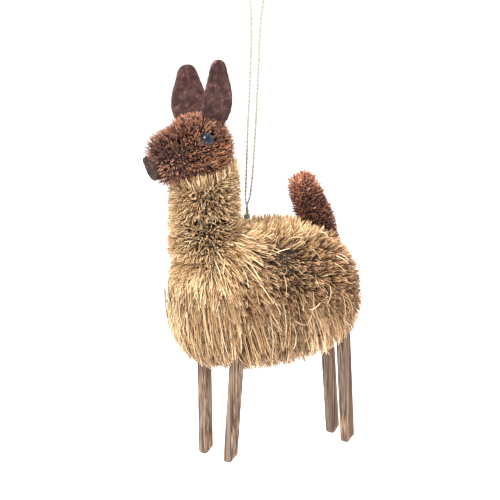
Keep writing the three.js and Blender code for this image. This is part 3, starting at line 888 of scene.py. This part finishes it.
def trunk_fields(mesh):
    places, normals = surface_arrays(mesh)
    height = places[:, 2] / MM
    behind = smooth_step((places[:, 1] - BODY_TIE.y) / (6 * MM) + 0.7)[:, None]
    from_neck = unit_rows(places - np.array(NECK_TIE))
    from_body = unit_rows(places - np.array(BODY_TIE))
    heading = from_neck * (1 - behind) + from_body * behind
    behind_front = smooth_step((places[:, 1] / MM + 8) / 12)
    heading[:, 2] -= 0.2 + 0.45 * smooth_step((58 - height) / 22) * (1 - 0.5 * behind_front)
    flat = along_surface(heading, normals)
    lying = np.clip(np.linalg.norm(flat, axis=1), 0, 1)
    shoulder = sum(bump_at(places, mm(side * 13, -9, 69), mm(8, 9, 7)) for side in (-1, 1))
    uneven = noise_at(places, 220)
    hang = 11 * smooth_step((70 - 10 * behind_front - height + 8 * uneven) / (34 - 8 * behind_front))
    reach = 3.2 - 2.2 * behind_front + hang + 5.5 * shoulder
    comb = unit_rows(flat) * (lying * reach * MM)[:, None]
    past_seam = (places[:, 1] - SLOT_Y) / MM
    comb *= (1 - 0.75 * above_slot(places))[:, None]
    aside = 3.4 * MM * np.sign(past_seam) * np.exp(-((past_seam / 3.4) ** 2))
    comb[:, 1] += aside * smooth_step((56 - height) / 6)

    # The hollows behind the shoulders are real dips in the coat; their darker tone is painted shade.
    hollow_size = mm(5, 4.4, 4.8)
    hollow = sum(bump_at(places, (side * 16 * MM, BODY_TIE.y, 68.5 * MM), hollow_size) for side in (-1, 1))
    # The parting over the front legs is a real gap in the coat, darkened with painted shade.
    parting = np.exp(-(((places[:, 1] - SLOT_Y) / (1.9 * MM)) ** 4)) * smooth_step((48 - height) / 3)
    low_rump = bump_at(places, mm(0, 36, 38), mm(22, 9, 9))
    low_chest = bump_at(places, mm(0, -30, 33), mm(24, 9, 9))
    throat = bump_at(places, mm(0, -27, 64), mm(14, 8, 7))
    hem = smooth_step((36 - height) / 7)
    lift = (0.9 * low_rump + 2.4 * low_chest + 2 * throat - 2.4 * hollow - 3.2 * parting + 0.2) * MM
    cover = np.clip(1 - 0.4 * hollow - 1.1 * parting - 0.3 * hem, 0, 1)
    front = smooth_step((CHEST_SEAM + 4 * MM - places[:, 1]) / (9 * MM))
    # The top of the back is paler: painted highlight where the light from above falls.
    painted_back_highlight = smooth_step((height - 69) / 6)
    # Mid flanks: a browner tone, and darker with painted self-shade of the radiating bristles.
    side_brown_and_shade = np.exp(-(((height - 52) / 11) ** 2)) * (1 - front)
    pale_hem = smooth_step((44 - height) / 12) * (1 - front)
    shade = 0.08 * front - 0.04 * front * smooth_step((62 - height) / 12) + 0.36 * painted_back_highlight - 0.42 * hollow
    shade += 0.06 * shoulder - 0.2 * side_brown_and_shade + 0.1 * pale_hem - 0.45 * parting
    low_rear = smooth_step((places[:, 1] / MM - 4) / 16) * smooth_step((54 - height) / 14)
    shade += 0.22 * low_rear
    # Painted light under the neck, lifting the shade that falls where neck and chest bristles crowd.
    under_neck = bump_at(places, mm(0, -20, 66), mm(20, 12, 8))
    shade += 0.1 * under_neck
    # Rust tone towards the rear and on the flanks, with painted shade in the hollows.
    rust_tone_and_hollow_shade = 0.08 + 0.4 * smooth_step((places[:, 1] / MM - 8) / 22) + 0.34 * side_brown_and_shade + 0.6 * hollow
    second = np.clip(rust_tone_and_hollow_shade * (1 - 0.8 * front) * (1 - 0.6 * painted_back_highlight), 0, 1)
    return {"comb": comb, "lift": lift, "cover": cover, "shade": shade, "second": second}


def long_fields(mesh):
    """The outermost bristles: longer, lying flat and only where the coat hangs."""
    fields = trunk_fields(mesh)
    length = np.linalg.norm(fields["comb"], axis=1)
    places, _ = surface_arrays(mesh)
    low_chest = bump_at(places, mm(0, -32, 32), mm(24, 9, 8))
    hem = smooth_step((36 * MM - places[:, 2]) / (8 * MM))
    fields["comb"] = fields["comb"] * 1.3
    fields["lift"] = fields["lift"] + (0.35 + 2.2 * low_chest + 0.8 * hem) * MM
    fields["cover"] = fields["cover"] * smooth_step((length / MM - 1) / 8) * (1 - above_slot(places))
    # Painted light: the long outer strands are made lighter than the layer beneath.
    fields["shade"] = fields["shade"] + 0.19
    return fields


def stray_fields(mesh):
    """A few pale bristles that have come out of line."""
    fields = trunk_fields(mesh)
    places, _ = surface_arrays(mesh)
    crossing = sum(bump_at(places, mm(side * 17, 0, 68), mm(4, 4, 4)) for side in (-1, 1))
    at_neck = sum(bump_at(places, mm(side * 15, -20, 64), mm(5, 5, 5)) for side in (-1, 1))
    fields["comb"] = fields["comb"] * 0.9
    breast = bump_at(places, mm(0, -27, 48), mm(8, 5, 6))
    fields["lift"] = fields["lift"] * 0.4 + (1.1 + 2.4 * breast) * MM
    fields["cover"] = np.clip(0.16 + 1.4 * crossing + 0.5 * at_neck, 0, 1)
    fields["shade"] = np.full(len(places), 0.45)
    fields["second"] = np.zeros(len(places))
    return fields


def trunk_section(name, node, from_y, to_y, seed):
    surface = share_of(TRUNK, lambda middle, normal: from_y <= middle.y < to_y)
    fields = trunk_fields(surface)
    places, _ = surface_arrays(surface)
    # Painted shade: the dense layer darkens low down, beneath the long hanging strands.
    fields["shade"] = fields["shade"] - 0.36 * smooth_step((54 * MM - places[:, 2]) / (14 * MM))
    sizes = dict(
        spacing=0.42, density=4.2e6, seed=seed, ragged=1.2, tuft_pull=0.4, radius=0.14, roundness=30,
        rings=3,
    )
    grow_bristles(name, surface, fields, STRAW, "straw_bristle", [node], **sizes)
    surface = share_of(TRUNK, lambda middle, normal: from_y <= middle.y < to_y)
    sizes = dict(
        spacing=0.85, density=1.5e6, seed=seed + 50, ragged=3.2, depth=2.6, sink=0.1, tilt=1.7,
        tuft_size=3.4, tuft_pull=0.72, tuft_tone=0.85, rings=4, roundness=20, shown=0.5,
    )
    long_name = name.replace("bristles", "long_bristles")
    grow_bristles(long_name, surface, long_fields(surface), STRAW, "straw_bristle", [], **sizes)
    bed_of(name.replace("bristles", "bed"), node, TRUNK_BED, STRAW_SHADE_BED, (from_y, to_y))


trunk_section("chest_bristles", "chest_fleece", -FAR, CHEST_SEAM, 11)
trunk_section("shoulder_bristles", "shoulder_fleece", CHEST_SEAM, CORD_SEAM, 12)
trunk_section("barrel_bristles", "barrel_fleece", CORD_SEAM, RUMP_SEAM, 13)
trunk_section("rump_bristles", "rump_fleece", RUMP_SEAM, FAR, 14)


def stray_bristles():
    surface = share_of(TRUNK, lambda middle, normal: middle.z < STRAY_TOP)
    sizes = dict(
        spacing=1.1, density=0.26e6, seed=71, radius=0.1, ragged=1.5, depth=3, sink=0.1, tilt=5.5,
        tuft_pull=0.0, rings=4, roundness=24, shown=0.4,
    )
    grow_bristles("stray_bristles", surface, stray_fields(surface), STRAW, "straw_bristle", [], **sizes)


stray_bristles()


# ---------- Neck ----------


NECK = hull_of(["neck_fleece_lower", "neck_fleece_upper"], 0.8 * MM)
NECK_SEAM_Z = (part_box("neck_fleece_lower")[1].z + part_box("neck_fleece_upper")[0].z) / 2


def neck_section(name, node, seed, above, below):
    low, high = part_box(node)
    middle_z = (low.z + high.z) / 2
    surface = share_of(NECK, lambda middle, normal: above <= middle.z < below and normal.z > -0.9)
    places, normals = surface_arrays(surface)
    heading = unit_rows(places - np.array((0, NECK_AXIS.y, middle_z)))
    heading[:, 2] -= 0.12
    flat = along_surface(heading, normals)
    sides = np.exp(-((np.abs(places[:, 0]) / MM - 11.5) ** 2) / 16)
    rim = smooth_step((normals[:, 2] - 0.1) / 0.3) * (1 - smooth_step((normals[:, 2] - 0.6) / 0.35))
    fields = {
        "comb": flat * 2.2 * MM,
        "lift": (0.15 + 2.6 * smooth_step((normals[:, 2] - 0.6) / 0.35) - 1.3 * rim) * MM,
        "cover": np.ones(len(places)),
        "shade": 0.27 - 0.04 * sides,
        "second": np.full(len(places), 0.12),
    }
    sizes = dict(
        spacing=0.37, density=5.4e6, seed=seed, radius=0.13, ragged=0.9, depth=6, tilt=1.5,
        tuft_size=2.2, tone_patch=5,
    )
    grow_bristles(name, surface, fields, STRAW, "straw_bristle", [node], **sizes)
    bed_of(name.replace("bristles", "bed"), node, NECK_BED, STRAW_SHADE_BED)


neck_section("lower_neck_bristles", "neck_fleece_lower", 21, 0, NECK_SEAM_Z)
neck_section("upper_neck_bristles", "neck_fleece_upper", 22, NECK_SEAM_Z, FAR)


# ---------- Head ----------

HEAD = hull_of(["head_bristles", "muzzle_bristles"], 0.7 * MM)
EYES = {side: sum(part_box("eye_" + side), Vector()) / 2 for side in ("left", "right")}
nose_low, nose_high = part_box("nose_pad")
NOSE_MIDDLE = (nose_low + nose_high) / 2
MUZZLE_SEAM_Y = seam_between("muzzle_bristles", "head_bristles")
# Dark tufts, in millimetres.
MUZZLE_PATCHES = [Vector((1, -34, 104)), Vector((5, -33.5, 102)), Vector((-4, -33, 102))]


def head_fields(mesh):
    places, normals = surface_arrays(mesh)
    height = places[:, 2] / MM
    at_nose = bump_at(places, NOSE_MIDDLE, mm(2.8, 3, 3.2))
    round_nose = bump_at(places, NOSE_MIDDLE, mm(8, 6, 8))
    heading = unit_rows(places - np.array(NOSE_MIDDLE)) * (1 - 1.9 * round_nose)[:, None]
    heading[:, 2] -= 0.1
    flat = along_surface(heading, normals)
    eyes = sum(bump_at(places, EYES[side], mm(1.4, 1.4, 1.4)) for side in EYES)
    # by_eyes marks the hollows round the eyes, darkened with painted shade.
    by_eyes = sum(bump_at(places, EYES[side], mm(4.2, 4.2, 4.2)) for side in EYES)
    cheeks = sum(
        bump_at(places, EYES[side] + Vector((0, 5, -6)) * MM, mm(5, 5.5, 3.4)) for side in EYES
    )
    crown = smooth_step((height - 101) / 9)
    jaw = smooth_step((99 - height) / 7)
    ridge = sum(bump_at(places, spot * MM, mm(2.6, 3, 2.4)) for spot in MUZZLE_PATCHES)
    # A real notch in the bristles by each brow, darkened with painted shade.
    brow = sum(bump_at(places, mm(side * 4, -27.6, 108.7), mm(1.9, 1.9, 1.9)) for side in (-1, 1))
    forehead = bump_at(places, mm(0, -27, 109), mm(9, 5, 5))
    bridge = bump_at(places, mm(0, -33, 105), mm(7, 4, 4))
    from_eye = np.min([np.linalg.norm(places - np.array(EYES[side]), axis=1) for side in EYES], axis=0)
    lids = np.exp(-(((from_eye - 3.1 * MM) / (0.8 * MM)) ** 2))
    at_ears = bump_at(places, mm(7, -21.5, 110), mm(2.6, 4, 3))
    at_ears += 0.3 * bump_at(places, mm(-7, -21.5, 110), mm(2.6, 4, 3))
    gaps = noise_at(places, 650)
    comb = flat * (0.3 + 3.6 * cheeks + 1.2 * round_nose)[:, None]
    for middle in EYES.values():
        pull = 2.6 * lids * smooth_step(gaps * 4 + 0.5) * (places[:, 0] * middle.x > 0)
        comb += unit_rows(np.array(middle) - places) * pull[:, None]
    lift = 0.9 * forehead + 2.6 * bridge + 2.4 * at_ears + 0.1 - 0.5 * eyes + 2.8 * round_nose
    second = 0.26 + 0.36 * jaw + 0.5 * ridge + 0.3 * round_nose + 0.5 * brow - 0.3 * cheeks
    return {
        "comb": comb * MM,
        "lift": (lift + 2.0 * lids - brow) * MM,
        "cover": np.clip(1 - 1.1 * eyes - 1.5 * at_nose, 0, 1),
        "shade": 0.1 * crown - 0.02 * jaw - 0.2 * ridge - 0.06 * by_eyes - 0.35 * brow + 0.1 * cheeks + 0.16,
        "second": np.clip(second, 0, 1),
    }


def head_section(name, node, keep, seed, inset):
    surface = share_of(HEAD, keep)
    sizes = dict(
        spacing=0.3, density=9e6, radius=0.1, seed=seed, ragged=1.1, depth=4.5, tilt=1.9,
        tuft_size=1.5, tuft_pull=0.1, tuft_tone=0.5, tone_patch=4,
    )
    grow_bristles(name, surface, head_fields(surface), RUST, "rust_bristle", [node], **sizes)
    bed_of(name.replace("bristles", "bed"), node, inset, RUST_SHADE_BED)


def on_skull(middle, normal):
    return middle.y >= MUZZLE_SEAM_Y


def on_snout(middle, normal):
    return middle.y < MUZZLE_SEAM_Y


head_section("skull_bristles", "head_bristles", on_skull, 31, SKULL_BED)
head_section("snout_bristles", "muzzle_bristles", on_snout, 32, SNOUT_BED)


def cheek_bristles():
    """Longer bristles that lie back under the eyes, a few of them pale."""
    surface = share_of(HEAD, lambda middle, normal: middle.y > MUZZLE_SEAM_Y and middle.z < EYES["left"].z)
    fields = head_fields(surface)
    places, _ = surface_arrays(surface)
    spot = Vector((1, 5, -5)) * MM
    under_eyes = bump_at(places, EYES["left"] + spot, mm(6, 6, 3.5))
    spot.x = -spot.x
    under_eyes += bump_at(places, EYES["right"] + spot, mm(6, 6, 3.5))
    fields["comb"] = unit_rows(fields["comb"]) * 5 * MM
    fields["lift"] = np.full(len(places), 0.6 * MM)
    fields["cover"] = 0.8 * under_eyes * smooth_step((np.abs(places[:, 0]) / MM - 3) / 3)
    fields["shade"] = np.full(len(places), 0.2)
    sizes = dict(
        spacing=0.9, density=0.8e6, seed=36, radius=0.11, depth=1.6, sink=0.1, tilt=1.6, tuft_pull=0.3,
        rings=4, roundness=11, shown=0.5,
    )
    grow_bristles("cheek_bristles", surface, fields, RUST, "rust_bristle", [], **sizes)


cheek_bristles()


# ---------- Tail ----------


TAIL_SINK = Vector((0, 3.0, -6.8)) * MM  # the pile goes on down into the coat


def chenille_tail():
    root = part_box("tail_pile")[0].z + 4 * MM
    foot = [v.co + TAIL_SINK for v in NODES["tail_pile"].data.vertices if v.co.z < root]
    surface = share_of(hull_of(["tail_pile"], 0.6 * MM, foot), lambda middle, normal: True)
    places, normals = surface_arrays(surface)
    fields = {
        "comb": normals * 0 + mm(0, 0, 0.5),
        "lift": np.full(len(places), 0.1 * MM),
        "cover": np.ones(len(places)),
        # The pile is lighter at its top and on its front side, painted light, and pinker there as the tips'
        # own tone.
        "shade": 0.38 * smooth_step((places[:, 2] / MM - 79) / 9) + 0.16 * smooth_step(-normals[:, 1]) - 0.32,
        "second": 0.06 + 0.3 * smooth_step((places[:, 2] / MM - 80) / 9) + 0.16 * smooth_step(-normals[:, 1]),
    }
    sizes = dict(
        spacing=0.3, density=9.5e6, radius=0.13, seed=41, ragged=1.5, depth=3.6, tilt=1.2,
        tuft_size=1.6, tuft_pull=0.45, tone_patch=4,
    )
    grow_bristles("chenille_pile", surface, fields, PILE, "tail_chenille", ["tail_pile"], **sizes)
    bed_of("chenille_bed", "tail_pile", PILE_BED, RUST_SHADE_BED)


chenille_tail()


# ---------- Legs ----------


def stick_leg(leg, mount):
    """A split stick with long grooves, cut level at the foot and bevelled round its end."""
    low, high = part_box(leg)
    foot = MOUNTS[mount]
    top = Vector((low.x + high.x - foot.x, low.y + high.y - foot.y, high.z))
    radius = (high.x - low.x - abs(top.x - foot.x)) / 2
    around, bevel, cut = 36, 0.5 * MM, 2.3 * MM
    cut_side = math.radians(60)
    shaft = np.linspace(3.2 * MM, top.z - 1 * MM, 30)
    heights = [0, bevel * 0.5, bevel, 1 * MM, 1.6 * MM, cut, *shaft, top.z]
    bm = bmesh.new()
    rings = []
    phase = foot.x * 400
    for height in heights:
        centre = foot.lerp(top, height / top.z)
        trim = max(0.0, 1 - height / bevel) * 0.16
        ring = []
        for side in range(around):
            angle = 2 * math.pi * side / around
            groove = noise.noise(Vector((math.cos(angle) * 2.2 + phase, math.sin(angle) * 2.2, height * 6)))
            split = noise.noise(Vector((math.cos(angle) * 7 + phase, math.sin(angle) * 7, height * 5)))
            flats = 0.03 * math.cos(5 * angle + phase)
            slant = max(0.0, 1 - height / cut) * max(0.0, math.cos(angle - cut_side) - 0.1) * 0.95
            reach = radius * (0.985 + 0.05 * groove + 0.06 * split + flats - trim - slant)
            spot = centre + Vector((math.cos(angle), math.sin(angle), 0)) * reach
            spot.z = height
            ring.append(bm.verts.new(spot))
        rings.append(ring)
    skin(bm, rings)
    finish_piece(leg.replace("leg", "stick"), mesh_from(bm), STICK, [leg])


for end in ("front", "rear"):
    for hand in ("left", "right"):
        stick_leg(f"leg_{end}_{hand}", f"foot_{end}_{hand}")


# ---------- Ears, nose and eyes ----------


def felt_shape(name, node, voxel, nap, material, shape=None):
    """A cut felt piece: the CAD outline with soft edges and an uneven face."""
    bm = remeshed(merged_copy(node), voxel)
    soften(bm)
    for vertex in bm.verts:
        fuzz = noise.noise(vertex.co * 1400) + 0.5 * noise.noise(vertex.co * 3100)
        vertex.co += vertex.normal * fuzz * nap
        if shape:
            vertex.co = shape(vertex.co)
    bm.normal_update()
    return finish_piece(name, mesh_from(bm), material, [node])


def ear_cup(node, side):
    """Bends a flat ear so that its two long edges come forward of its middle a little."""
    low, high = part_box(node)
    middle = (low.y + high.y) / 2
    root = low.z + 5 * MM

    def bend(point):
        across = (point.y - middle) / (6 * MM)
        rise = max(0.0, (point.z - root) / (20 * MM))
        tucked = max(0.0, 1 - (point.z - low.z) / (17 * MM))
        tuck = Vector((-4.4 * side, 2.4 if side > 0 else 0.4, -1.3)) * MM * tucked * (1 if side > 0 else 0.3)
        return point + tuck + Vector((side * (0.9 * across * across - 0.7 * rise * rise) * MM, 0, 0))

    return bend


for side, word in ((1, "left"), (-1, "right")):
    ear = "ear_" + word
    felt_shape("felt_" + ear, ear, 0.22 * MM, 0.09 * MM, EAR_FELT, ear_cup(ear, side))
felt_shape("felt_nose", "nose_pad", 0.2 * MM, 0.1 * MM, NOSE_FELT)


def bead_eye(word, side):
    """A drilled glass-like bead on its pin, turned outwards from the head."""
    middle = EYES[word]
    low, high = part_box("eye_" + word)
    radius = (high.z - low.z) / 2
    pin_low, pin_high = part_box("eye_pin_" + word)
    inner = Vector((pin_low.x if side > 0 else pin_high.x, (pin_low.y + pin_high.y) / 2, pin_low.z))
    outward = (middle - inner).normalized()
    bm = bmesh.new()
    profile = [(math.cos(a), math.sin(a)) for a in np.linspace(-math.pi / 2, math.radians(76), 26)]
    profile[0] = (0.001, -1)
    profile += [(0.2, 0.965), (0.17, 0.94), (0.165, 0.86), (0.001, 0.85)]
    sides = 40
    turn = outward.to_track_quat("Z", "Y").to_matrix()
    rings = []
    for reach, rise in profile:
        ring = []
        for step in range(sides):
            angle = 2 * math.pi * step / sides
            local = Vector((reach * math.cos(angle), reach * math.sin(angle), rise * 0.94)) * radius
            ring.append(bm.verts.new(middle + turn @ local))
        rings.append(ring)
    skin(bm, rings)
    bmesh.ops.remove_doubles(bm, verts=bm.verts, dist=0.01 * MM)
    bmesh.ops.recalc_face_normals(bm, faces=bm.faces)
    finish_piece("bead_" + word, mesh_from(bm), BEAD, ["eye_" + word])


for side, word in ((1, "left"), (-1, "right")):
    bead_eye(word, side)


# ---------- CAD pieces that stay ----------

KEPT = {
    CORE_WOOD: ["spine_bar", "front_leg_bar", "rear_leg_bar", "neck_stem", "head_core", "muzzle_peg"],
    WIRE: ["tail_stem", "eye_pin_left", "eye_pin_right", "rear_binding", "neck_binding"],
    TWINE: ["cord_anchor"],
}
for material, names in KEPT.items():
    for name in names:
        NODES[name].data.materials.clear()
        NODES[name].data.materials.append(material)
